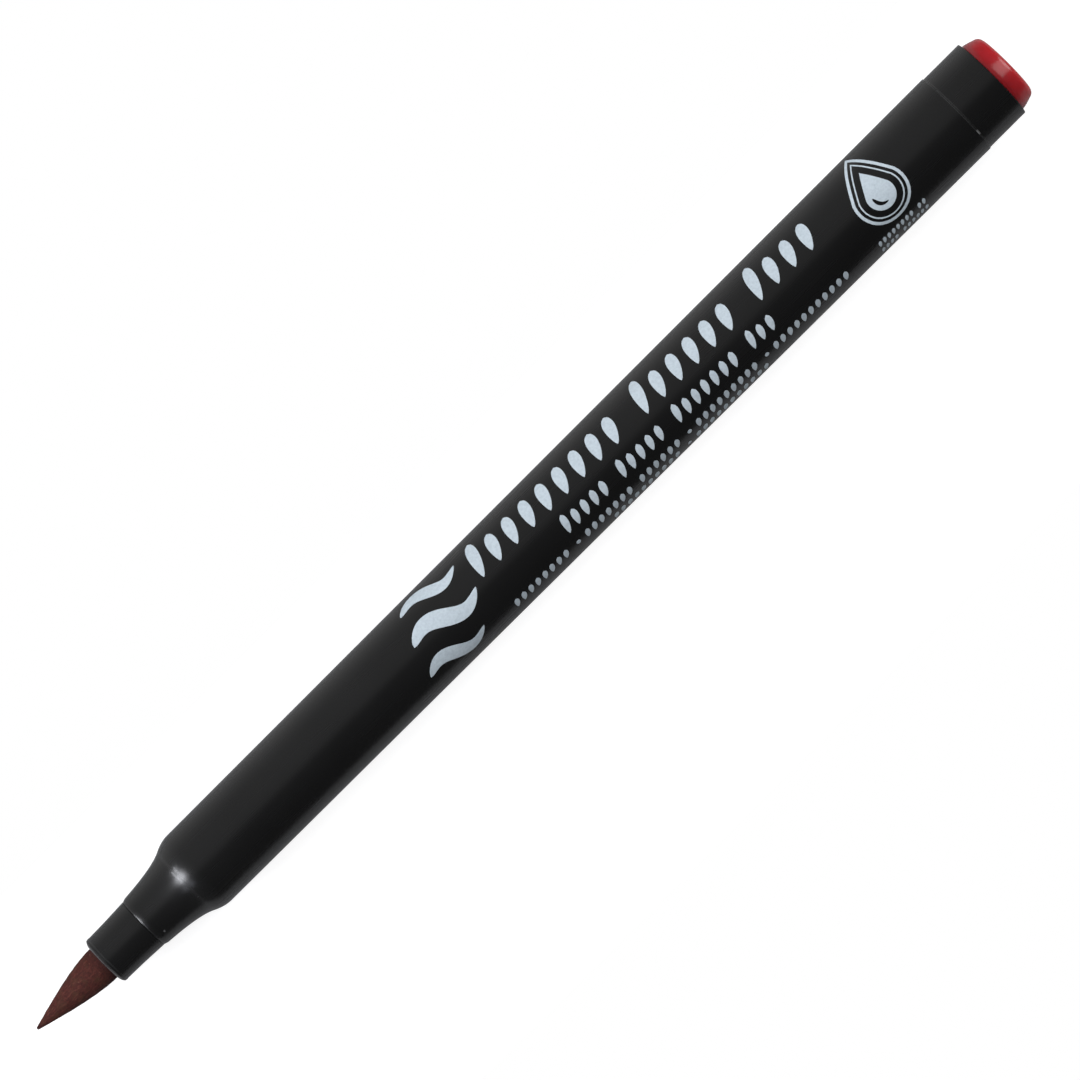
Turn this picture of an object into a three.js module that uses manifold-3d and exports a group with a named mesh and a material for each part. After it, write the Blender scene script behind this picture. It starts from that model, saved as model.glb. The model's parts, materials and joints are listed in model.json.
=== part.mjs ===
// Brush pen, uncapped and lying on its side: a tapered barrel with a stepped neck, a nib holder
// pressed into the neck, a fibre brush nib, an ink reservoir in its film, and an end plug.
// Millimetres. +X runs along the pen from the nib to the end plug, and +Z is up from the surface
// it lies on. The origin is on that surface, under the middle of the pen's length.
import * as THREE from 'three';
import { mergeVertices } from 'three/addons/utils/BufferGeometryUtils.js';
import Module from 'manifold-3d';

const wasm = await Module();
wasm.setup();

// ---- Driving dimensions ----
// Places along the pen are measured from the tip of the nib, and radii from the pen's axis.
const PEN_LENGTH = 136.82;

// Places that the pieces share
const MOUTH = 9.38; // front of the nib holder, where the nib comes out
const SEAM = 14.9; // the nib holder's collar meets the front of the barrel
const SHOULDER = 20.95; // the neck's flare turns over into the shoulder
const BARREL_FRONT = 22.9; // the grip starts here, at its thinnest
const POSTING_STEP = 129.75; // step down to the spigot that a posted cap pushes onto
const REAR_RIM = 134.7;

// Barrel
const NECK_R = 3.09;
const NECK_EDGE_R = 2.97; // the neck's front edge slopes down to meet the collar
const NECK_SLOPE_LENGTH = 0.45;
const FLARE_FOOT_R = 3.372; // the tangents of the neck's flare meet at this radius and place
const FLARE_FOOT = SHOULDER - 1.4;
const SHOULDER_R = 4.07;
const SHOULDER_CREST = BARREL_FRONT - 0.93; // the tangents of the shoulder's curve meet here
const BARREL_FRONT_R = 4.58;
const BARREL_REAR_R = 4.855;
const POSTING_SPIGOT_R = 4.765;
const NECK_BORE_R = 2.35;
const NECK_BORE_LENGTH = 7.6;
const CHAMBER_R = 3.75; // the space that holds the reservoir
const PLUG_BORE_R = 4.0;
const PLUG_BORE_LENGTH = 7.2;
const RIB_COUNT = 4;
const RIB_WIDTH = 0.5;
const RIB_TIP_R = 3.58; // the ribs centre the reservoir and leave air channels between them
const RIB_ROOT_R = 4.0;

// Nib holder
const LIP_R = 2.8;
const LIP_LENGTH = 0.5;
const HOLDER_R = 2.83;
const COLLAR_START = 12.3; // the sleeve widens from here back to its collar
const COLLAR_R = 2.96;
const HOLDER_SHANK_LENGTH = 7.2;
const VENT_COUNT = 3;
const VENT_WIDTH = 0.6;
const VENT_DEPTH = 0.25;

// Brush nib
const NIB_R = 1.98;
const NIB_TIP_R = 0.16;
const NIB_TIP_LENGTH = 0.12;
const NIB_BELLY = 6.5; // the tangents of the nib's flank meet here
const NIB_SHANK_R = 1.5;
const NIB_STOP = 14.3; // the nib's body ends here, against the step in the holder's bore
const NIB_BACK = 31.0; // the shank's pointed back end, inside the reservoir
const NIB_POINT_LENGTH = 1.5;

// Ink reservoir and its film
const RESERVOIR_FRONT = 25.5;
const RESERVOIR_BACK = 126.5;
const RESERVOIR_R = 3.3;
const FILM_INNER_R = 3.35;
const FILM_R = 3.47;
const FILM_SET_BACK = 0.4; // the fibre stands this far out of the film at each end

// End plug
const PLUG_R = 4.37;
const PLUG_BAND_LENGTH = 0.5; // the nearly straight side next to the rim
const PLUG_EDGE_R = 4.0;
const PLUG_EDGE_LENGTH = 0.7; // from the edge, where the corner starts, to the end face
const PLUG_CORNER_R = 3.75; // the tangents of the rounded corner meet here
const PLUG_FACE_R = 3.1;
const PLUG_SPIGOT_LENGTH = 6.0;
const PLUG_WALL = 0.9;
const PLUG_STUB_R = 1.0;

// Clearances and edges
const FIT_GAP = 0.05; // radial, between a pressed piece and its bore
const NIB_GAP = 0.1; // radial, round the nib
const END_GAP = 0.1; // between the ends of neighbouring pieces
const EDGE_BEVEL = 0.08;
const LEAD_IN = 0.4; // chamfer on the leading end of a pressed piece

const SIDES = 32; // flats round a turned piece, one of which faces the surface below
const CURVE_STEPS = 5;

// ---- Materials ----
const blackPlastic = { color: 0x1d1d1e, roughness: 0.42, metalness: 0 };
const redPlastic = { color: 0xa52328, roughness: 0.35, metalness: 0 };
const nibFibre = { color: 0x5b2a28, roughness: 0.9, metalness: 0 };
const inkedFibre = { color: 0x8a2a2c, roughness: 0.95, metalness: 0 };
const clearFilm = { color: 0xc9cdd2, roughness: 0.2, metalness: 0 };

// ---- Turned pieces ----
// An outline is drawn in the plane of (radius, place along the pen): forwards to back on the
// outside, then back to front on the inside. Radii are given across the flats.
function turnedGeometry(outline) {
  const acrossFlats = 1 / Math.cos(Math.PI / SIDES);
  const points = outline
    .getPoints(CURVE_STEPS)
    .map((point) => new THREE.Vector2(point.x * acrossFlats, point.y));
  return new THREE.LatheGeometry(points, SIDES, Math.PI / SIDES);
}

function solidFrom(geometry) {
  geometry.deleteAttribute('normal');
  geometry.deleteAttribute('uv');
  const merged = mergeVertices(geometry);
  const corners = merged.index.array;
  const triangles = [];
  for (let i = 0; i < corners.length; i += 3) {
    const [a, b, c] = corners.slice(i, i + 3);
    if (a !== b && b !== c && c !== a) {
      triangles.push(a, b, c);
    }
  }
  return new wasm.Manifold(new wasm.Mesh({
    numProp: 3,
    vertProperties: new Float32Array(merged.attributes.position.array),
    triVerts: new Uint32Array(triangles),
  }));
}

function geometryFrom(solid) {
  const mesh = solid.getMesh();
  const geometry = new THREE.BufferGeometry();
  geometry.setAttribute('position', new THREE.BufferAttribute(mesh.vertProperties, 3));
  geometry.setIndex(new THREE.BufferAttribute(mesh.triVerts, 1));
  return geometry;
}

// Bars spaced evenly round the axis, each standing on a flat of the turned piece.
function barsRoundAxis(count, width, innerR, outerR, front, back) {
  const bars = [];
  for (let i = 0; i < count; i += 1) {
    const turn = (2 * Math.PI * Math.round((i * SIDES) / count)) / SIDES;
    const bar = new THREE.BoxGeometry(width, back - front, outerR - innerR);
    bar.translate(0, (front + back) / 2, (innerR + outerR) / 2);
    bar.rotateY(turn);
    bars.push(solidFrom(bar));
  }
  return bars;
}

// ---- Outlines ----
function barrelOutline() {
  const front = SEAM + END_GAP;
  const neckBoreEnd = SEAM + NECK_BORE_LENGTH;
  const chamberFront = RESERVOIR_FRONT - 2 * LEAD_IN;
  const plugBoreFront = REAR_RIM - PLUG_BORE_LENGTH;
  const outline = new THREE.Path();
  outline.moveTo(NECK_BORE_R, front);
  outline.lineTo(NECK_EDGE_R, front);
  outline.lineTo(NECK_R, front + NECK_SLOPE_LENGTH);
  outline.quadraticCurveTo(FLARE_FOOT_R, FLARE_FOOT, SHOULDER_R, SHOULDER);
  outline.quadraticCurveTo(BARREL_FRONT_R, SHOULDER_CREST, BARREL_FRONT_R, BARREL_FRONT);
  outline.lineTo(BARREL_REAR_R, POSTING_STEP - EDGE_BEVEL);
  outline.lineTo(POSTING_SPIGOT_R, POSTING_STEP);
  outline.lineTo(POSTING_SPIGOT_R, REAR_RIM - 2 * EDGE_BEVEL);
  outline.lineTo(POSTING_SPIGOT_R - 2 * EDGE_BEVEL, REAR_RIM);
  outline.lineTo(PLUG_BORE_R, REAR_RIM);
  outline.lineTo(PLUG_BORE_R, plugBoreFront);
  outline.lineTo(CHAMBER_R, plugBoreFront - LEAD_IN);
  outline.lineTo(CHAMBER_R, chamberFront);
  outline.lineTo(NECK_BORE_R, neckBoreEnd);
  outline.closePath();
  return outline;
}

function holderOutline() {
  const mouthBoreR = NIB_R + NIB_GAP;
  const shankBoreR = NIB_SHANK_R + NIB_GAP;
  const shankR = NECK_BORE_R - FIT_GAP;
  const back = SEAM + HOLDER_SHANK_LENGTH;
  const outline = new THREE.Path();
  outline.moveTo(mouthBoreR, MOUTH);
  outline.lineTo(mouthBoreR + EDGE_BEVEL, MOUTH);
  outline.quadraticCurveTo(LIP_R, MOUTH, LIP_R, MOUTH + LIP_LENGTH);
  outline.lineTo(HOLDER_R, COLLAR_START);
  outline.lineTo(COLLAR_R, SEAM - EDGE_BEVEL);
  outline.lineTo(COLLAR_R - EDGE_BEVEL, SEAM);
  outline.lineTo(shankR, SEAM);
  outline.lineTo(shankR, back - LEAD_IN);
  outline.lineTo(shankR - LEAD_IN, back);
  outline.lineTo(shankBoreR, back);
  outline.lineTo(shankBoreR, NIB_STOP + END_GAP);
  outline.lineTo(mouthBoreR, NIB_STOP + END_GAP);
  outline.closePath();
  return outline;
}

function nibOutline() {
  const outline = new THREE.Path();
  outline.moveTo(0, 0);
  outline.quadraticCurveTo(NIB_TIP_LENGTH, 0, NIB_TIP_R, NIB_TIP_LENGTH);
  outline.quadraticCurveTo(NIB_R, NIB_BELLY, NIB_R, MOUTH - END_GAP);
  outline.lineTo(NIB_R, NIB_STOP);
  outline.lineTo(NIB_SHANK_R, NIB_STOP);
  outline.lineTo(NIB_SHANK_R, NIB_BACK - NIB_POINT_LENGTH);
  outline.lineTo(0, NIB_BACK);
  return outline;
}

function reservoirOutline() {
  const pocketR = NIB_SHANK_R + NIB_GAP;
  const outline = new THREE.Path();
  outline.moveTo(pocketR, RESERVOIR_FRONT);
  outline.lineTo(RESERVOIR_R, RESERVOIR_FRONT);
  outline.lineTo(RESERVOIR_R, RESERVOIR_BACK);
  outline.lineTo(0, RESERVOIR_BACK);
  outline.lineTo(0, NIB_BACK + NIB_GAP);
  outline.lineTo(pocketR, NIB_BACK - NIB_POINT_LENGTH + NIB_GAP);
  outline.closePath();
  return outline;
}

function filmOutline() {
  const front = RESERVOIR_FRONT + FILM_SET_BACK;
  const back = RESERVOIR_BACK - FILM_SET_BACK;
  const outline = new THREE.Path();
  outline.moveTo(FILM_INNER_R, front);
  outline.lineTo(FILM_R, front);
  outline.lineTo(FILM_R, back);
  outline.lineTo(FILM_INNER_R, back);
  outline.closePath();
  return outline;
}

function plugOutline() {
  const spigotR = PLUG_BORE_R - FIT_GAP;
  const flange = REAR_RIM + END_GAP;
  const spigotFront = REAR_RIM - PLUG_SPIGOT_LENGTH;
  const cupR = spigotR - PLUG_WALL;
  const cupFloor = flange + PLUG_WALL;
  const outline = new THREE.Path();
  outline.moveTo(cupR, spigotFront);
  outline.lineTo(spigotR - LEAD_IN, spigotFront);
  outline.lineTo(spigotR, spigotFront + 2 * LEAD_IN);
  outline.lineTo(spigotR, flange);
  outline.lineTo(PLUG_R, flange);
  outline.lineTo(PLUG_R - EDGE_BEVEL, flange + PLUG_BAND_LENGTH);
  outline.lineTo(PLUG_EDGE_R, PEN_LENGTH - PLUG_EDGE_LENGTH);
  outline.quadraticCurveTo(PLUG_CORNER_R, PEN_LENGTH, PLUG_FACE_R, PEN_LENGTH);
  outline.lineTo(0, PEN_LENGTH);
  outline.lineTo(0, RESERVOIR_BACK + END_GAP);
  outline.lineTo(PLUG_STUB_R, RESERVOIR_BACK + END_GAP);
  outline.lineTo(PLUG_STUB_R, cupFloor);
  outline.lineTo(cupR, cupFloor);
  outline.closePath();
  return outline;
}

// ---- Pieces ----
function barrelGeometry() {
  const front = RESERVOIR_FRONT + 2 * LEAD_IN;
  const back = REAR_RIM - PLUG_BORE_LENGTH - 2 * LEAD_IN;
  const ribs = barsRoundAxis(RIB_COUNT, RIB_WIDTH, RIB_TIP_R, RIB_ROOT_R, front, back);
  const shell = solidFrom(turnedGeometry(barrelOutline()));
  return geometryFrom(ribs.reduce((solid, rib) => solid.add(rib), shell));
}

function holderGeometry() {
  const shankR = NECK_BORE_R - FIT_GAP;
  const front = SEAM + 2 * END_GAP;
  const back = SEAM + HOLDER_SHANK_LENGTH + LEAD_IN;
  const floorR = shankR - VENT_DEPTH;
  const vents = barsRoundAxis(VENT_COUNT, VENT_WIDTH, floorR, shankR + LEAD_IN, front, back);
  const body = solidFrom(turnedGeometry(holderOutline()));
  return geometryFrom(vents.reduce((solid, vent) => solid.subtract(vent), body));
}

const pen = new THREE.Group();

// Every piece shares the pen's axis, which lies along +X at half the barrel's rear diameter.
function place(name, geometry, look) {
  const mesh = new THREE.Mesh(geometry, new THREE.MeshStandardMaterial(look));
  mesh.name = name;
  mesh.rotation.z = -Math.PI / 2;
  mesh.position.set(-PEN_LENGTH / 2, 0, BARREL_REAR_R);
  pen.add(mesh);
}

place('barrel', barrelGeometry(), blackPlastic);
place('nib_holder', holderGeometry(), blackPlastic);
place('brush_nib', turnedGeometry(nibOutline()), nibFibre);
place('ink_reservoir', turnedGeometry(reservoirOutline()), inkedFibre);
place('reservoir_film', turnedGeometry(filmOutline()), clearFilm);
place('end_plug', turnedGeometry(plugOutline()), redPlastic);

export default pen;
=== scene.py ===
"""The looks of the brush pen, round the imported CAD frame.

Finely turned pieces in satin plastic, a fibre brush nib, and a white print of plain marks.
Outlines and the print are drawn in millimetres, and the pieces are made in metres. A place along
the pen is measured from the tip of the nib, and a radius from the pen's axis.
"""

import json
import math

import bmesh
import bpy
from mathutils import Matrix, Vector, noise

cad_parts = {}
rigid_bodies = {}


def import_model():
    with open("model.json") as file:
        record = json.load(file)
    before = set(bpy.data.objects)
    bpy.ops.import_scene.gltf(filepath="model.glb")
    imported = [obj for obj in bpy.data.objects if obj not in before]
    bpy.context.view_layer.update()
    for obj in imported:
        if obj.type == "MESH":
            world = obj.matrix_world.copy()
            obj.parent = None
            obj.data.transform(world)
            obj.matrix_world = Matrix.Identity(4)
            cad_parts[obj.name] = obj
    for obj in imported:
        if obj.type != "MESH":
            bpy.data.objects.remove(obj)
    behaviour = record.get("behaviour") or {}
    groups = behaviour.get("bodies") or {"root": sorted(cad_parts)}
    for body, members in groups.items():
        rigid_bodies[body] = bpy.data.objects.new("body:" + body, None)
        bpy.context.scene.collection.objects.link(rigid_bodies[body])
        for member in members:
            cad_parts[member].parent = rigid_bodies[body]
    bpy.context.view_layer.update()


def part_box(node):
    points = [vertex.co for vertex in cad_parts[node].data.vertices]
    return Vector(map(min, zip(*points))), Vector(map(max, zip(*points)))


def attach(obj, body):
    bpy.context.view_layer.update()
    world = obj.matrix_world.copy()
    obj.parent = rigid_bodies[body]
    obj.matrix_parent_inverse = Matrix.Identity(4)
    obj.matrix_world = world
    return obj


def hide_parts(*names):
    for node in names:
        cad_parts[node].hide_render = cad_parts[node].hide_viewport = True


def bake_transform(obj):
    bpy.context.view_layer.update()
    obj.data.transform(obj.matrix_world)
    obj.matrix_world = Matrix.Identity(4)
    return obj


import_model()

# ---------------------------------------------------------------- places and sizes, from the frame
MM = 0.001
NIB_TIP_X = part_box("brush_nib")[0].x
AXIS_Z = sum(corner.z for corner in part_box("barrel")) / 2


def along(x):
    """How far a place in the frame is behind the tip of the nib, in mm."""
    return (x - NIB_TIP_X) / MM


def ends(node):
    """Where a node starts and ends along the pen, in mm."""
    return [along(corner.x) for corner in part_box(node)]


def largest_radius(node):
    """A node's largest radius, in mm."""
    low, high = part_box(node)
    return (high.y - low.y) / 2 / MM


def on_pen(x, r, turn):
    """The point x mm along the pen and r mm from its axis. It is turned from the top towards +Y."""
    return Vector((NIB_TIP_X + x * MM, r * MM * math.sin(turn), AXIS_Z + r * MM * math.cos(turn)))


SEAM, REAR_RIM = ends("barrel")
MOUTH, HOLDER_BACK = ends("nib_holder")
PLUG_FRONT, PEN_END = ends("end_plug")
NIB_BACK = ends("brush_nib")[1]
FIBRE_FRONT, FIBRE_BACK = ends("ink_reservoir")
FILM_FRONT, FILM_BACK = ends("reservoir_film")

BARREL_R = largest_radius("barrel")
COLLAR_R = largest_radius("nib_holder")
NIB_R = largest_radius("brush_nib")
PLUG_R = largest_radius("end_plug")
FIBRE_R = largest_radius("ink_reservoir")
FILM_R = largest_radius("reservoir_film")

LIP_RIDGE = MOUTH + 0.6  # a fine ridge where the lip turns into the sleeve
SHOULDER = SEAM + 5.95  # the neck's flare turns over into the shoulder
GRIP = SHOULDER + 1.95  # the grip starts here, at the barrel's thinnest
POSTING_STEP = REAR_RIM - 4.95  # a posted cap pushes onto the barrel as far as this
PLUG_SPIGOT = 6.0  # how far the plug's spigot reaches into the barrel

SEAM_R = 2.93  # the barrel's front edge, with a small chamfer
NECK_R = 3.09  # where the flare of the neck starts
FLARE_R = 3.372  # what the flare curves towards on its way to the shoulder
SHOULDER_R = 4.07
GRIP_R = BARREL_R - 0.275
SPIGOT_R = BARREL_R - 0.09
SLEEVE_R = 2.8  # the nib holder, between its lip and its collar
NECK_BORE_R = 2.35
CHAMBER_R = 3.75
PLUG_BORE_R = 4.0
NIB_SHANK_R = 1.5

SEGMENTS = 192  # round a turned piece that shows
HIDDEN_SEGMENTS = 64  # round one that doesn't


# ---------------------------------------------------------------- outlines and turned pieces
def curve(start, control, end, steps=14):
    """Points on a curve from start to end that leaves and arrives towards control, ends included."""
    points = []
    for i in range(steps + 1):
        t = i / steps
        weighed = ((1 - t) ** 2, start), (2 * t * (1 - t), control), (t * t, end)
        points.append(tuple(sum(weight * point[k] for weight, point in weighed) for k in (0, 1)))
    return points


def rounded(corner, before, after, radius, steps=6):
    """A corner turned into an arc of about that radius, from the side of before to the side of after."""
    most = 0.45  # of the way to a neighbouring point
    c, b, a = Vector(corner), Vector(before), Vector(after)
    reach = min(radius, most * (b - c).length, most * (a - c).length)
    return curve(c + (b - c).normalized() * reach, corner, c + (a - c).normalized() * reach, steps)


def outline(*entries):
    """The points of an outline.

    An entry is a corner (along, radius) or (along, radius, rounding), or a whole list of points.
    """
    corners = []
    for entry in entries:
        corners.extend([(*p, 0) for p in entry] if isinstance(entry, list) else [(*entry, 0)[:3]])
    points = []
    for i, (x, r, rounding) in enumerate(corners):
        if rounding and 0 < i < len(corners) - 1:
            points.extend(rounded((x, r), corners[i - 1][:2], corners[i + 1][:2], rounding))
        else:
            points.append((x, r))
    return points


def new_object(name, data):
    made = bpy.data.objects.new(name, data)
    bpy.context.scene.collection.objects.link(made)
    return made


def smooth(mesh, sharp_above=35):
    """Smooth shading, but for edges sharper than that many degrees."""
    mesh.shade_smooth()
    mesh.set_sharp_from_angle(angle=math.radians(sharp_above))


def turned(name, points, ring=False, segments=SEGMENTS):
    """A closed solid turned round the pen's axis.

    The outline of a ring closes on itself, and any other outline runs from axis to axis.
    """
    verts, faces, rows = [], [], []
    for x, r in points:
        count = segments if r > 1e-6 else 1
        rows.append(list(range(len(verts), len(verts) + count)))
        verts.extend(on_pen(x, r if count > 1 else 0, 2 * math.pi * k / segments) for k in range(count))
    for a, b in zip(rows, rows[1:] + rows[:1] if ring else rows[1:]):
        if len(a) == 1 and len(b) == 1:
            continue
        for k in range(segments):
            n = (k + 1) % segments
            corners = [a[k % len(a)], a[n % len(a)], b[n % len(b)], b[k % len(b)]]
            faces.append(list(dict.fromkeys(corners)))
    mesh = bpy.data.meshes.new(name)
    mesh.from_pydata(verts, [], faces)
    bm = bmesh.new()
    bm.from_mesh(mesh)
    bmesh.ops.recalc_face_normals(bm, faces=bm.faces)
    bm.to_mesh(mesh)
    bm.free()
    smooth(mesh)
    return new_object(name, mesh)


# ---------------------------------------------------------------- nodes, for materials and for the world
MIX_FACTOR, MIX_LOW, MIX_HIGH, MIX_COLOR = 0, 6, 7, 2  # the sockets of a Mix node that mixes colours


def is_socket(value):
    return isinstance(value, bpy.types.NodeSocket)


def add(owner, kind, inputs=None, **settings):
    """A new node of a material or a world. Each input is a value, or a socket to link to it."""
    node = owner.node_tree.nodes.new(kind)
    for key, value in settings.items():
        setattr(node, key, value)
    for key, value in (inputs or {}).items():
        if is_socket(value):
            owner.node_tree.links.new(value, node.inputs[key])
        else:
            node.inputs[key].default_value = value
    return node


def calculated(owner, operation, *values):
    return add(owner, "ShaderNodeMath", dict(enumerate(values)), operation=operation).outputs[0]


def spread(owner, value, low, high, to_low=0.0, to_high=1.0, **settings):
    """A value that runs from to_low to to_high as the given one runs from low to high."""
    inputs = {"Value": value, "From Min": low, "From Max": high, "To Min": to_low, "To Max": to_high}
    return add(owner, "ShaderNodeMapRange", inputs, **settings).outputs["Result"]


def mixed(owner, factor, low, high):
    """A colour between low and high, each a colour or a socket."""
    low, high = (color if is_socket(color) else (*color, 1) for color in (low, high))
    inputs = {MIX_FACTOR: factor, MIX_LOW: low, MIX_HIGH: high}
    return add(owner, "ShaderNodeMix", inputs, data_type="RGBA").outputs[MIX_COLOR]


def place(made, stretch=(1, 1, 1)):
    """The point on the piece in mm, stretched along each axis, so textures count in cycles per mm."""
    on_piece = add(made, "ShaderNodeTexCoord").outputs["Object"]
    inputs = {"Vector": on_piece, "Scale": tuple(s / MM for s in stretch)}
    return add(made, "ShaderNodeMapping", inputs).outputs["Vector"]


def place_on(made, axis, middle=0.0):
    """How far the point is along X or Y from a middle, in mm, with X measured from the nib's tip."""
    from_zero = NIB_TIP_X / MM + middle if axis == "X" else middle
    here = add(made, "ShaderNodeSeparateXYZ", {0: place(made)}).outputs[axis]
    return calculated(made, "SUBTRACT", here, from_zero)


def grain(made, scale, detail=3, stretch=(1, 1, 1)):
    inputs = {"Vector": place(made, stretch), "Scale": scale, "Detail": detail, "Roughness": 0.55}
    return add(made, "ShaderNodeTexNoise", inputs).outputs["Fac"]


# ---------------------------------------------------------------- materials
def shader_of(made):
    return made.node_tree.nodes["Principled BSDF"]


def material(name, color, roughness, **constants):
    """A principled material, with these values on the shader's own sockets."""
    made = bpy.data.materials.new(name)
    made.use_nodes = True
    shader = shader_of(made)
    shader.inputs["Base Color"].default_value = (*color, 1)
    shader.inputs["Roughness"].default_value = roughness
    for socket, value in constants.items():
        shader.inputs[socket.replace("_", " ")].default_value = value
    return made


def finish_with(made, color, roughness=None, bumps=()):
    """Links a colour, a roughness and bumps, each bump a (height, depth in mm), to the shader."""
    links = made.node_tree.links
    shader = shader_of(made)
    links.new(color, shader.inputs["Base Color"])
    if roughness is not None:
        links.new(roughness, shader.inputs["Roughness"])
    below = {}
    for height, depth in bumps:
        inputs = {"Height": height, "Distance": depth * MM, "Strength": 1.0, **below}
        below = {"Normal": add(made, "ShaderNodeBump", inputs).outputs["Normal"]}
    links.new(below["Normal"], shader.inputs["Normal"])
    return made


def specks(made, scale, size, share):
    """Sparse round specks: one in some of the cells of a grid, size mm across."""
    core, rim = 0.3, 0.6
    cells = add(made, "ShaderNodeTexVoronoi", {"Vector": place(made), "Scale": scale})
    near = spread(made, cells.outputs["Distance"], size * scale * core, size * scale * rim, 1.0, 0.0)
    chosen = add(made, "ShaderNodeSeparateColor", {"Color": cells.outputs["Color"]}).outputs["Red"]
    return calculated(made, "MULTIPLY", near, calculated(made, "LESS_THAN", chosen, share))


def painted_edge_highlight(made, tone, x, width, highlight_tone):
    """A tone with a painted highlight: a paler line round the pen, width mm across, at x mm along it."""
    full, none = 0.2 * width, 0.6 * width
    off = calculated(made, "ABSOLUTE", place_on(made, "X", x))
    lit_band = spread(made, off, full, none, 1.0, 0.0)
    patchy = spread(made, grain(made, 1.2), 0.25, 0.55, 0.5, 1.0)
    return mixed(made, calculated(made, "MULTIPLY", lit_band, patchy), tone, (highlight_tone, highlight_tone, highlight_tone))


def nick_and_painted_glint(made, tone, x, y, length, pale_tone):
    """A tone with a short pale mark across the pen, its middle x mm along it and y mm to the side. It
    serves for a nick and for a painted glint.
    """
    half_width = 0.1
    masks = []
    for axis, middle, half in (("X", x, half_width), ("Y", y, length / 2)):
        off = calculated(made, "ABSOLUTE", place_on(made, axis, middle))
        masks.append(spread(made, off, 0.7 * half, 1.1 * half, 1.0, 0.0))
    return mixed(made, calculated(made, "MULTIPLY", *masks), tone, (pale_tone, pale_tone, pale_tone))


def black_plastic(name, edges, pale_marks=(), lift=1.0):
    """Satin moulded plastic with a fine spark-eroded grain, faint handling marks and a little dust.

    Each edge is a painted highlight line, what painted_edge_highlight takes, and each pale mark is
    what nick_and_painted_glint takes: nicks, and a painted glint. Lift makes the whole tone lighter
    by that factor.
    """
    dark, light, dusty = 0.0098 * lift, 0.0122 * lift, (0.05, 0.05, 0.052)
    made = material(name, (0.011, 0.011, 0.0115), 0.27, IOR=1.49)
    mottle = spread(made, grain(made, 0.12, 4), 0.3, 0.7)
    tone = mixed(made, mottle, (dark, dark, dark), (light, light, light))
    dust = specks(made, 0.22, 0.16, 0.16)
    tone = mixed(made, dust, tone, dusty)
    for edge in edges:
        # painted highlight lines along edges of the pen
        tone = painted_edge_highlight(made, tone, *edge)
    # pale marks: a small nick, and a painted glint
    for pale_mark in pale_marks:
        tone = nick_and_painted_glint(made, tone, *pale_mark)
    handling = grain(made, 0.9, 5, stretch=(0.08, 1, 1))
    gloss = spread(made, handling, 0.25, 0.75, 0.25, 0.285)
    return finish_with(made, tone, gloss, [(grain(made, 9.0, 2), 0.0012), (dust, 0.01)])


def red_plastic():
    """Slightly translucent semi-gloss plastic, with painted shade: a deeper red beside the barrel than at
    the end.
    """
    constants = {"IOR": 1.44, "Subsurface_Weight": 0.5, "Subsurface_Scale": 0.0018}
    made = material("red_plastic", (0.36, 0.016, 0.02), 0.3, **constants)
    shader_of(made).inputs["Subsurface Radius"].default_value = (1.0, 0.25, 0.2)
    mottle = spread(made, grain(made, 0.5, 4), 0.3, 0.7)
    tone = mixed(made, mottle, (0.31, 0.013, 0.018), (0.355, 0.017, 0.023))
    # painted shade: darker beside the barrel's rim, lighter towards the end
    painted_shade_to_end = spread(made, place_on(made, "X"), REAR_RIM + 0.4, PEN_END)
    tone = mixed(made, painted_shade_to_end, tone, (0.45, 0.02, 0.026))
    gloss = spread(made, grain(made, 1.6, 4), 0.3, 0.7, 0.15, 0.22)
    return finish_with(made, tone, gloss, [(grain(made, 7.0), 0.0012)])


def nib_fibre():
    """Bonded fibres stained by the ink, running along the nib, with paler and darker flecks."""
    made = material("nib_fibre", (0.07, 0.017, 0.013), 0.85, IOR=1.4)
    strands = grain(made, 6.0, 4, stretch=(0.22, 1, 1))
    felt = grain(made, 5.0, 5)
    tone = mixed(made, spread(made, felt, 0.3, 0.72), (0.038, 0.0085, 0.006), (0.092, 0.0175, 0.012))
    stains = spread(made, grain(made, 1.1), 0.49, 0.67, 0.0, 0.65)
    tone = mixed(made, stains, tone, (0.066, 0.025, 0.012))
    tone = mixed(made, spread(made, strands, 0.52, 0.75), tone, (0.125, 0.034, 0.024))
    behind_tip = place_on(made, "X")
    # painted shade: the nib darker where it goes into the holder's mouth
    painted_shade_at_mouth = spread(made, behind_tip, MOUTH - 0.9, MOUTH, 0.0, 0.5)
    tone = mixed(made, painted_shade_at_mouth, tone, (0.03, 0.008, 0.008))
    inked_tip = spread(made, behind_tip, 0.9, 0.1, 0.0, 0.85)
    tone = mixed(made, inked_tip, tone, (0.03, 0.003, 0.004))
    tone = mixed(made, specks(made, 1.8, 0.13, 0.3), tone, (0.15, 0.075, 0.045))
    return finish_with(made, tone, bumps=[(felt, 0.03), (strands, 0.02), (grain(made, 14.0), 0.01)])


def inked_fibre():
    """Long fibres soaked with red ink."""
    made = material("inked_fibre", (0.2, 0.01, 0.015), 0.8)
    strands = grain(made, 6.0, 4, stretch=(0.05, 1, 1))
    tone = mixed(made, spread(made, strands, 0.3, 0.7), (0.12, 0.005, 0.01), (0.32, 0.02, 0.03))
    return finish_with(made, tone, bumps=[(strands, 0.05)])


def clear_film():
    """Thin clear plastic with shallow creases along it."""
    made = material("clear_film", (0.8, 0.8, 0.82), 0.15, IOR=1.49, Transmission_Weight=0.9)
    creases = grain(made, 0.7, 4, stretch=(0.3, 1, 1))
    tone = mixed(made, spread(made, creases, 0.3, 0.7), (0.72, 0.72, 0.75), (0.86, 0.86, 0.88))
    return finish_with(made, tone, spread(made, creases, 0.3, 0.7, 0.1, 0.22), [(creases, 0.02)])


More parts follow.
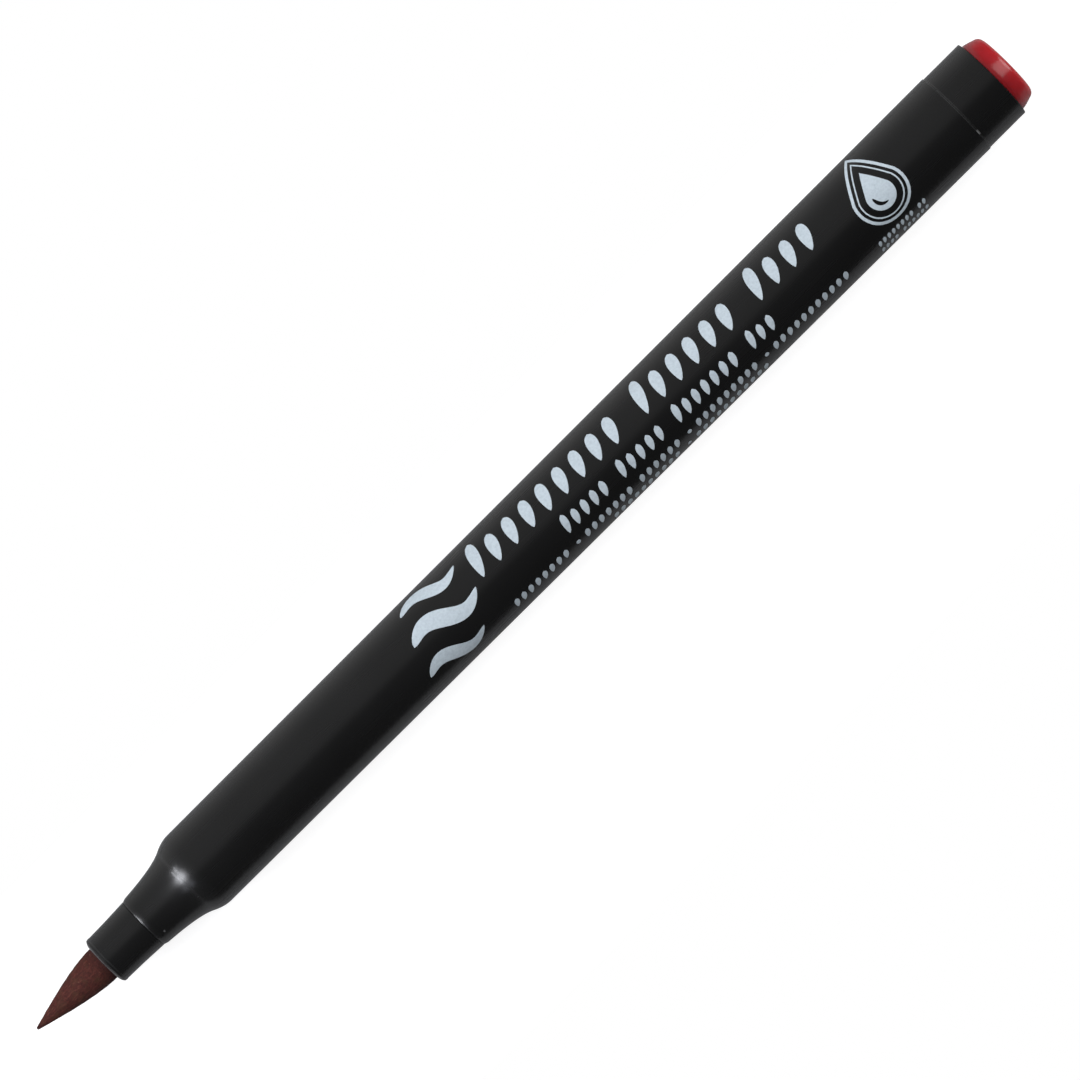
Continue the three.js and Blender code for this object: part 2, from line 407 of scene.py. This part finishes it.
def white_print():
    """Pad-printed ink with a slight bluish cast, thinner in places."""
    made = material("white_print", (0.55, 0.63, 0.69), 0.5, IOR=1.48)
    cover = grain(made, 3.5, 5)
    tone = mixed(made, spread(made, cover, 0.25, 0.6), (0.45, 0.525, 0.58), (0.565, 0.645, 0.70))
    return finish_with(made, tone, spread(made, cover, 0.3, 0.7, 0.42, 0.6), [(grain(made, 12.0), 0.002)])


# ---------------------------------------------------------------- pieces
def barrel_piece():
    neck = curve((SEAM + 0.45, NECK_R), (SHOULDER - 1.4, FLARE_R), (SHOULDER, SHOULDER_R), 36)
    shoulder = curve((SHOULDER, SHOULDER_R), (SHOULDER + 1.02, GRIP_R), (GRIP, GRIP_R), 24)
    rim = curve((REAR_RIM - 0.06, SPIGOT_R), (REAR_RIM, SPIGOT_R), (REAR_RIM, SPIGOT_R - 0.1), 6)
    outside = [
        (SEAM, SEAM_R, 0.02),
        (SEAM + 0.12, SEAM_R + 0.06, 0.05),
        neck,
        shoulder[1:],
        (POSTING_STEP - 0.04, BARREL_R, 0.015),
        (POSTING_STEP, SPIGOT_R),
        rim,
    ]
    inside = [
        (REAR_RIM, PLUG_BORE_R, 0.1),
        (PLUG_FRONT + 1.6, PLUG_BORE_R),
        (PLUG_FRONT + 0.4, CHAMBER_R),
        (FIBRE_FRONT - 0.8, CHAMBER_R),
        (HOLDER_BACK + 0.4, NECK_BORE_R),
    ]
    return turned("barrel_shell", outline((SEAM, NECK_BORE_R), *outside, *inside), ring=True)


def holder_piece():
    mouth_r, bore_r, shank_r = NIB_R + 0.04, NIB_SHANK_R + 0.1, NECK_BORE_R - 0.05
    nib_stop, collar_end = SEAM - 0.5, SEAM - 0.03
    lip = curve((MOUTH + 0.02, mouth_r + 0.14), (MOUTH + 0.04, 2.5), (MOUTH + 0.31, SLEEVE_R - 0.01), 12)
    points = outline(
        (nib_stop, mouth_r),
        (MOUTH, mouth_r, 0.05),
        lip,
        (LIP_RIDGE, SLEEVE_R + 0.025, 0.02),
        (LIP_RIDGE + 0.12, SLEEVE_R, 0.02),
        (MOUTH + 2.9, SLEEVE_R + 0.04, 1.0),
        (collar_end, COLLAR_R, 0.05),
        (collar_end, shank_r),
        (HOLDER_BACK, shank_r, 0.3),
        (HOLDER_BACK, bore_r),
        (nib_stop, bore_r),
    )
    return turned("holder_sleeve", points, ring=True)


def felted(co):
    """How far the nib's surface stands out at a point, in mm: lumps, fine fibre ends and strands."""
    p = co / MM
    lumps = noise.noise(p * 1.6) * 0.022
    fibre_ends = noise.noise(p * 6.5) * 0.02
    strands = noise.noise(Vector((p.x * 0.9, p.y * 5.0, p.z * 5.0))) * 0.012
    return lumps + fibre_ends + strands


def nib_piece():
    tip_length, tip_r = 0.12, 0.16
    felt_full, felt_end = 1.5, MOUTH - 0.3  # the felt fades in behind the tip and ends at the mouth
    neck_end = MOUTH + 4.8
    tip = curve((0, 0), (0, 0.75 * tip_r), (tip_length, tip_r), 5)
    flank = curve((tip_length, tip_r), (6.5, NIB_R), (MOUTH - 0.1, NIB_R), 110)
    root = [(MOUTH + 0.5, NIB_R), (neck_end, NIB_R), (neck_end, NIB_SHANK_R)]
    back = [(NIB_BACK - 1.5, NIB_SHANK_R), (NIB_BACK, 0)]
    made = turned("nib_felt", tip + flank[1:] + root + back)
    for vert in made.data.vertices:
        x = along(vert.co.x)
        out = Vector((0, vert.co.y, vert.co.z - AXIS_Z))
        if x <= felt_end and out.length > 1e-7:
            vert.co += out.normalized() * felted(vert.co) * min(1, x / felt_full) * MM
    return made


def fibre_piece():
    pocket_r, pocket_end = NIB_SHANK_R + 0.1, NIB_BACK + 0.1
    pocket = [(pocket_end, 0), (pocket_end - 1.5, pocket_r)]
    rod = outline(
        (FIBRE_FRONT, pocket_r),
        (FIBRE_FRONT, FIBRE_R, 0.3),
        (FIBRE_BACK, FIBRE_R, 0.3),
        (FIBRE_BACK, 0),
    )
    return turned("reservoir_fibre_rod", pocket + rod, segments=HIDDEN_SEGMENTS)


def film_piece():
    inner_r = FILM_R - 0.12
    points = [(FILM_FRONT, inner_r), (FILM_FRONT, FILM_R), (FILM_BACK, FILM_R), (FILM_BACK, inner_r)]
    return turned("reservoir_film_wrap", points, ring=True, segments=HIDDEN_SEGMENTS)


def plug_piece():
    stub_r, face_r = 1.0, 3.1
    spigot_r, spigot_front = PLUG_BORE_R - 0.05, REAR_RIM - PLUG_SPIGOT
    flange, crown = REAR_RIM + 0.04, PEN_END - 0.06
    cup_r, cup_floor = spigot_r - 0.9, flange + 0.96
    corner = curve((PEN_END - 0.64, 4.0), (PEN_END - 0.1, 3.84), (crown, face_r), 14)
    face = curve((crown, face_r), (PEN_END, 2.2), (PEN_END, 0), 8)
    points = outline(
        (PLUG_FRONT, 0),
        (PLUG_FRONT, stub_r, 0.2),
        (cup_floor, stub_r, 0.3),
        (cup_floor, cup_r, 0.3),
        (spigot_front, cup_r, 0.1),
        (spigot_front, spigot_r - 0.4, 0.1),
        (spigot_front + 0.8, spigot_r, 0.2),
        (flange, spigot_r),
        (flange, PLUG_R, 0.05),
        (flange + 0.5, PLUG_R - 0.07, 0.4),
        corner,
        face[1:],
    )
    return turned("plug_cap", points)


# ---------------------------------------------------------------- the print
# Plain marks, with no lettering. A shape is a list of loops, the outer one first and then its holes.
# x is along the pen, and v is round the barrel from the top towards +Y, both in mm.
def barrel_radius(x):
    return GRIP_R + (BARREL_R - GRIP_R) * (x - GRIP) / (POSTING_STEP - GRIP)


def arc(x, v, r, start, stop, step):
    """Points round a middle, from start to stop in degrees."""
    angles = [math.radians(a) for a in range(start, stop, step)]
    return [(x + r * math.cos(a), v + r * math.sin(a)) for a in angles]


def brushed(line, width, belly=0.4):
    """A brush stroke along a line of points, thin at both ends and widest at belly of its length."""
    thinnest, fullness = 0.06, 0.7
    last, left, right = len(line) - 1, [], []
    for i, (x, v) in enumerate(line):
        before, after = line[max(i - 1, 0)], line[min(i + 1, last)]
        side = Vector((before[1] - after[1], after[0] - before[0])).normalized()
        swell = math.sin(math.pi * (i / last) ** (math.log(0.5) / math.log(belly))) ** fullness
        half = side * (thinnest + width * swell) / 2
        left.append((x + half.x, v + half.y))
        right.append((x - half.x, v - half.y))
    return left + right[::-1]


def dab(x, v, width, height, steps):
    """One touch of the brush: a leaning stroke, wide near its top, with v at its middle."""
    lean = height * 0.24
    line = curve((x + lean, v + height / 2), (x + 0.7 * lean, v), (x, v - height / 2), steps)
    return [brushed(line, width)]


def dabs(x, v, counts, pitch, height, gap, first=1.0, steps=8):
    """A row of dabs in groups, the first of each taller by first. A count of 0 is a round dot."""
    shapes = []
    for count in counts:
        if count == 0:
            shapes.append([arc(x + height * 0.1, v, height * 0.22, 0, 360, 20)])
            x += height * 0.4 + gap
            continue
        for i in range(count):
            tall = height * first if i == 0 else height
            shapes.append(dab(x + i * pitch, v + (tall - height) / 2, pitch * 0.54, tall, steps))
        x += count * pitch + gap
    return shapes


def ripple(x, v, length, rise, width, steps=36):
    """A brush stroke like a ripple on water."""
    line = []
    for i in range(steps + 1):
        height = rise * math.sin(2 * math.pi * i / steps)
        line.append((x + length * i / steps, v + height))
    return [brushed(line, width, belly=0.45)]


def teardrop(x, v, r):
    """A drop with its point towards +Y. v is the middle of its round end, and r that end's radius."""
    point, hip_x, hip_v = (x, v + 2.0 * r), r * 0.94, v + r * 0.34
    bend_x, bend_v = r * 0.45, v + r * 1.25
    left = curve(point, (x - bend_x, bend_v), (x - hip_x, hip_v), 14)
    right = curve((x + hip_x, hip_v), (x + bend_x, bend_v), point, 14)
    return left[:-1] + arc(x, v, r, 160, 381, 10) + right[1:-1]


def filled(shapes):
    """Flat shapes filled in, as a mesh in memory."""
    outlines = bpy.data.curves.new("outlines", "CURVE")
    outlines.dimensions = "2D"
    outlines.fill_mode = "BOTH"
    for loop in (loop for loops in shapes for loop in loops):
        spline = outlines.splines.new("POLY")
        spline.points.add(len(loop) - 1)
        for point, (x, v) in zip(spline.points, loop):
            point.co = (x, v, 0, 1)
        spline.use_cyclic_u = True
    drawn = new_object("outlines", outlines)
    bpy.context.view_layer.update()
    evaluated = drawn.evaluated_get(bpy.context.evaluated_depsgraph_get())
    mesh = bpy.data.meshes.new_from_object(evaluated)
    bm = bmesh.new()
    bm.from_mesh(mesh)
    bpy.data.batch_remove([drawn, outlines, mesh])
    return bm


def raised(bm, bottom, top):
    """The points and faces of a solid between two heights, over flat faces that all look up."""
    bm.verts.index_update()
    flat = [vert.co.xy for vert in bm.verts]
    count = len(flat)
    verts = [(x, v, height) for height in (bottom, top) for x, v in flat]
    faces = []
    for face in bm.faces:
        corners = [vert.index for vert in face.verts]
        faces.append(corners[::-1])
        faces.append([corner + count for corner in corners])
        for loop in (loop for loop in face.loops if loop.edge.is_boundary):
            a, b = loop.vert.index, loop.link_loop_next.vert.index
            faces.append([a, b, b + count, a + count])
    return verts, faces


def wrapped(x, v, height):
    """A point of the print in the frame, that height off the barrel."""
    r = barrel_radius(x)
    return on_pen(x, r + height, v / r)


def printed(name, shapes, ink):
    """Flat shapes wrapped round the barrel as thin solids, in strips so that they follow its curve."""
    strip, bottom, top = 0.2, -0.02, 0.012
    bm = filled(shapes)
    bmesh.ops.remove_doubles(bm, verts=bm.verts, dist=1e-5)
    low, high = min(vert.co.y for vert in bm.verts), max(vert.co.y for vert in bm.verts)
    for i in range(1, int((high - low) / strip) + 1):
        everything = list(bm.verts) + list(bm.edges) + list(bm.faces)
        cut = (0, low + i * strip, 0)
        bmesh.ops.bisect_plane(bm, geom=everything, plane_co=cut, plane_no=(0, 1, 0))
    verts, faces = raised(bm, bottom, top)
    bm.free()
    mesh = bpy.data.meshes.new(name)
    mesh.from_pydata([wrapped(*vert) for vert in verts], [], faces)
    mesh.materials.append(ink)
    smooth(mesh, sharp_above=30)
    return new_object(name, mesh)


def print_pieces(ink):
    """The print, laid out as on such a pen: a mark, a headline, finer lines and a badge."""
    mark_x, text_x, badge_x, badge_v = 52.8, 63.6, 118.4, -0.4
    mark = [
        ripple(mark_x + 2.0, 3.9, length=7.4, rise=0.8, width=1.5),
        ripple(mark_x + 0.9, 0.4, length=8.6, rise=0.9, width=1.8),
        ripple(mark_x, -3.1, length=7.4, rise=0.8, width=1.5),
    ]
    headline = dabs(text_x, 2.1, (9, 6, 4), pitch=2.35, height=3.2, gap=1.9, first=1.3, steps=16)
    lines = [
        *dabs(text_x + 9.2, -1.7, (5, 5, 7, 3), pitch=1.3, height=1.75, gap=1.3, first=1.2),
        *dabs(text_x + 0.4, -4.2, (8, 0, 7, 6, 0, 9, 0, 11), pitch=0.98, height=1.15, gap=0.8),
        *dabs(text_x + 13.6, -5.85, (10, 0, 11), pitch=0.95, height=1.1, gap=0.8),
        *dabs(badge_x - 3.5, -4.5, (8, 2), pitch=0.62, height=0.8, gap=0.5),
        *dabs(badge_x - 3.6, -5.8, (4, 6), pitch=0.62, height=0.8, gap=0.5),
    ]
    left, foot = badge_x - 0.9, badge_v - 0.95
    glint = curve((left, badge_v + 0.3), (left, badge_v - 0.9), (badge_x + 0.2, foot))
    badge = [
        [teardrop(badge_x, badge_v, 3.1), teardrop(badge_x, badge_v, 2.78)],
        [teardrop(badge_x, badge_v, 2.45), teardrop(badge_x, badge_v, 2.3)],
        [teardrop(badge_x, badge_v, 1.6), brushed(glint, 0.34)],
    ]
    return [
        printed("print_ripples", mark, ink),
        printed("print_headline", headline, ink),
        printed("print_lines", lines, ink),
        printed("print_drop", badge, ink),
    ]


# ---------------------------------------------------------------- the pen
def dress(piece, finish, slot, body, *nodes):
    """Gives a piece its material and the body it rides on, and hides the CAD nodes it stands for. The
    slot is not used.
    """
    piece.data.materials.clear()
    piece.data.materials.append(finish)
    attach(piece, body)
    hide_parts(*nodes)
    return piece


def make_nib():
    nib = nib_piece()
    nib.data.materials.append(nib_fibre())
    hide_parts("brush_nib")
    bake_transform(nib)


def make_pen():
    """Makes every piece of the pen and returns the black ones."""
    # Painted highlight lines on the barrel at the seam, the shoulder's crease and the posting step, and
    # on the holder at its lip and ridge. The pale mark at the posting step is a painted glint, and the
    # one behind the seam is a small nick.
    barrel_highlight_lines = [(SEAM + 0.06, 0.24, 0.017), (SHOULDER, 0.4, 0.018), (POSTING_STEP, 0.28, 0.058)]
    barrel_nicks_and_glint = [(SEAM + 1.07, -2.03, 0.2, 0.18), (POSTING_STEP, -2.85, 0.55, 0.55)]
    holder_highlight_lines = [(MOUTH + 0.1, 0.18, 0.1), (LIP_RIDGE, 0.2, 0.03)]
    barrel_black = black_plastic("black_plastic", barrel_highlight_lines, barrel_nicks_and_glint)
    holder_black = black_plastic("holder_plastic", holder_highlight_lines, lift=1.08)
    barrel = dress(barrel_piece(), barrel_black, "black_plastic", "pen_body", "barrel")
    holder = dress(holder_piece(), holder_black, "holder_plastic", "pen_body", "nib_holder")
    dress(fibre_piece(), inked_fibre(), "reservoir_fibre", "pen_body", "ink_reservoir")
    dress(film_piece(), clear_film(), "clear_film", "pen_body", "reservoir_film")
    dress(plug_piece(), red_plastic(), "red_plastic", "plug_body", "end_plug")
    make_nib()
    for mark in print_pieces(white_print()):
        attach(mark, "pen_body")
    return [barrel, holder]


# ---------------------------------------------------------------- floor, light and camera
def make_floor():
    """A white strip under the pen. It glows to the camera alone, and lights the pen as paper would."""
    paper, glow = 0.42, 0.85
    side, near, far = 0.5, -0.035, 0.012
    corners = [(-side, near, 0), (side, near, 0), (side, far, 0), (-side, far, 0)]
    mesh = bpy.data.meshes.new("floor")
    mesh.from_pydata(corners, [], [(0, 1, 2, 3)])
    floor = new_object("floor", mesh)
    white = material("floor_white", (paper, paper, paper), 0.9, Specular_IOR_Level=0.0)
    shader_of(white).inputs["Emission Color"].default_value = (1, 1, 1, 1)
    seen = add(white, "ShaderNodeLightPath").outputs["Is Camera Ray"]
    strength = calculated(white, "MULTIPLY", seen, glow)
    white.node_tree.links.new(strength, shader_of(white).inputs["Emission Strength"])
    mesh.materials.append(white)


def make_surroundings():
    """A dim studio, with a backdrop that the camera sees as white.

    It has a wide grey wall on the +Y side of the pen, brighter towards the floor and gone towards the
    plug's end, and a pale card off the nib's end.
    """
    wall, lowest_wall, card, unlit, backdrop = 0.255, 0.9, 0.18, 0.065, 1.0
    world = bpy.data.worlds.new("studio")
    bpy.context.scene.world = world
    world.use_nodes = True
    toward = add(world, "ShaderNodeTexCoord").outputs["Generated"]
    toward = add(world, "ShaderNodeSeparateXYZ", {0: toward}).outputs

    def share(axis, start, end, most):
        return spread(world, toward[axis], start, end, 0.0, most, interpolation_type="SMOOTHSTEP")

    brighter_below = calculated(world, "ADD", share("Z", 0.65, -0.3, lowest_wall), 1.0)
    lit = calculated(world, "MULTIPLY", share("Y", -0.22, 0.1, wall), brighter_below)
    lit = calculated(world, "MULTIPLY", lit, share("X", 0.5, 0.25, 1.0))
    lit = calculated(world, "ADD", lit, share("X", -0.75, -0.95, card))
    lit = calculated(world, "ADD", lit, unlit)
    seen = add(world, "ShaderNodeLightPath").outputs["Is Camera Ray"]
    background = world.node_tree.nodes["Background"]
    background.inputs["Color"].default_value = (1, 1, 1, 1)
    strength = spread(world, seen, 0.0, 1.0, lit, backdrop)
    world.node_tree.links.new(strength, background.inputs["Strength"])


def soft_light(name, direction, long_side, length, width, radiance, distance=0.9, color=(1, 1, 1)):
    """A rectangular light that faces the pen from that direction, with its length along long_side.

    Radiance is how bright it looks, beside a white of 1.
    """
    data = bpy.data.lights.new(name, "AREA")
    data.shape = "RECTANGLE"
    data.size, data.size_y = length, width
    data.energy = radiance * math.pi * length * width
    data.color = color
    made = new_object(name, data)
    back = Vector(direction).normalized()
    across = back.cross(Vector(long_side)).normalized()
    lengthwise = across.cross(back)
    facing = Matrix((lengthwise, across, back)).transposed().to_4x4()
    made.matrix_world = Matrix.Translation(back * distance) @ facing
    return made


def leave_out(light, pieces):
    """The light passes these pieces by and lights everything else."""
    passed_by = bpy.data.collections.new(light.name + "_passes_by")
    for piece in pieces:
        passed_by.objects.link(piece)
    for member in passed_by.collection_objects:
        member.light_linking.link_state = "EXCLUDE"
    light.light_linking.receiver_collection = passed_by


def make_lights(black_pieces):
    """Cool lights off the nib's end, panes off the plug's end that pass the black by, and a matt fill."""
    tilt, level = (0.11, 0.89, -0.44), (0, 1, 0)
    cool, cooler = (0.92, 0.94, 1.0), (0.85, 0.88, 1.0)
    soft_light("strip_nib_end", (-0.786, 0.336, 0.518), tilt, 0.56, 0.05, 33, color=cool)
    soft_light("patch_nib_end", (-0.77, 0.223, 0.59), tilt, 0.26, 0.34, 8, color=cool)
    soft_light("haze_nib_end", (-0.787, -0.05, 0.61), tilt, 0.5, 0.2, 2, color=cooler)
    upper_pane = soft_light("upper_pane_plug_end", (0.688, 0.045, 0.725), level, 0.56, 0.36, 2.5)
    lower_pane = soft_light("lower_pane_plug_end", (0.94, 0.045, 0.342), level, 0.48, 0.58, 5)
    for pane in (upper_pane, lower_pane):
        leave_out(pane, black_pieces)
    fill = soft_light("fill", (-0.1, 0.9, 0.9), (1, 0, 0), 1.0, 0.8, 1.1, distance=1.2)
    fill.visible_glossy = False


def make_camera():
    """Straight above the pen, turned so that the nib is at the lower left."""
    distance, view_width, turn = 0.95, 0.108, math.radians(-44.88)
    behind_middle, beside_axis = 1.72 * MM, -0.82 * MM
    data = bpy.data.cameras.new("camera")
    data.sensor_width = 36
    data.lens = data.sensor_width * distance / view_width
    data.clip_start, data.clip_end = 0.01, 20
    camera = new_object("camera", data)
    camera.location = on_pen(PEN_END / 2, 0, 0) + Vector((behind_middle, beside_axis, distance))
    camera.rotation_euler = (0, 0, turn)
    bpy.context.scene.camera = camera


make_camera()
make_floor()
make_surroundings()
make_lights(make_pen())
bpy.context.scene.view_settings.view_transform = "Standard"
